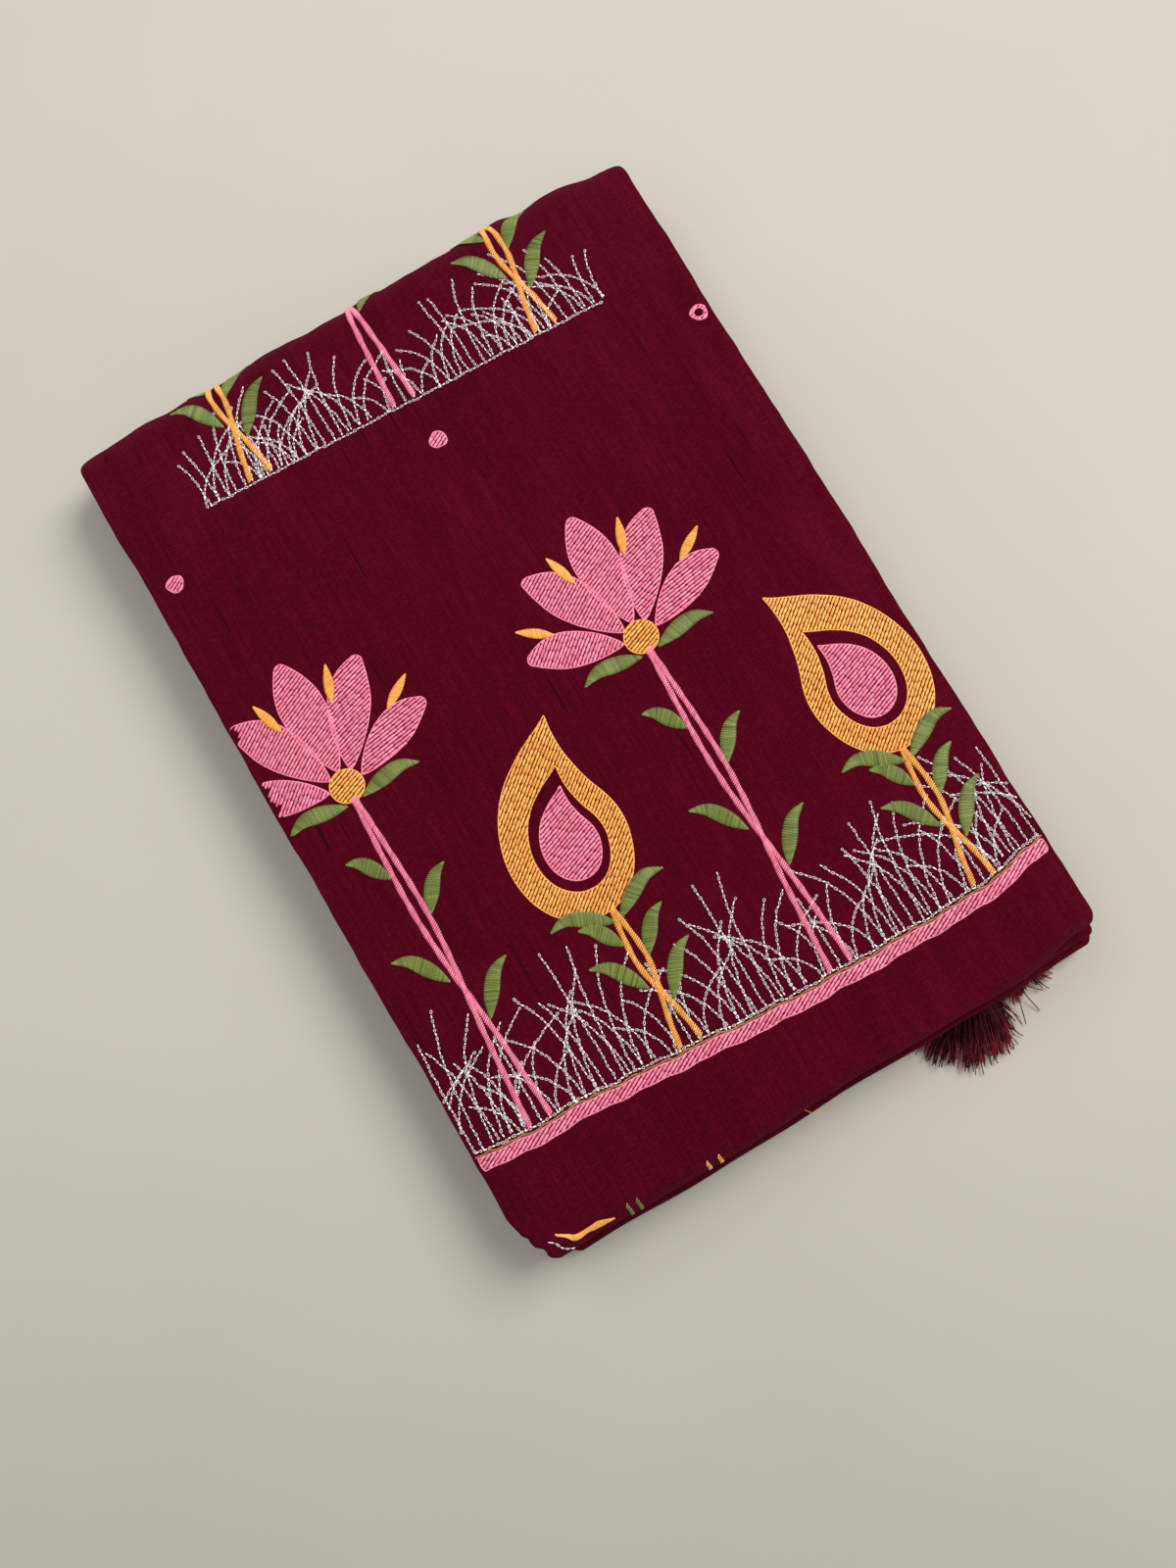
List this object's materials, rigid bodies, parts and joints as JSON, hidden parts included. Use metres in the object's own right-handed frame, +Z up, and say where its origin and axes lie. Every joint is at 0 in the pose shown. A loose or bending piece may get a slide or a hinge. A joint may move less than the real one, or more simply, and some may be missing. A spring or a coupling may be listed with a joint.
{
  "type": "folded kosa silk saree",
  "caption": "Maroon silk saree folded into a flat oblong packet, with embroidered top, stacked near folds and two tassels showing at one edge.",
  "frame": {"origin": "centre of the whole part's bounding box, on the floor it lies on", "axes": "+X across the packet, +Y along it from the near folds and tassels to the far fold, +Z up"},
  "size_m": [0.2774, 0.4333, 0.031],
  "materials": {
    "silk": "slubby silk with a low, soft sheen",
    "inner_silk": "slubby silk, seen at the folded edges",
    "tassel_thread": "loose silk threads"
  },
  "bodies": {
    "root": {"outer_stretch": "silk", "second_stretch": "silk", "third_stretch": "silk", "hidden_layers": "inner_silk", "tassel_left": "tassel_thread", "tassel_right": "tassel_thread"}
  },
  "joints": []
}
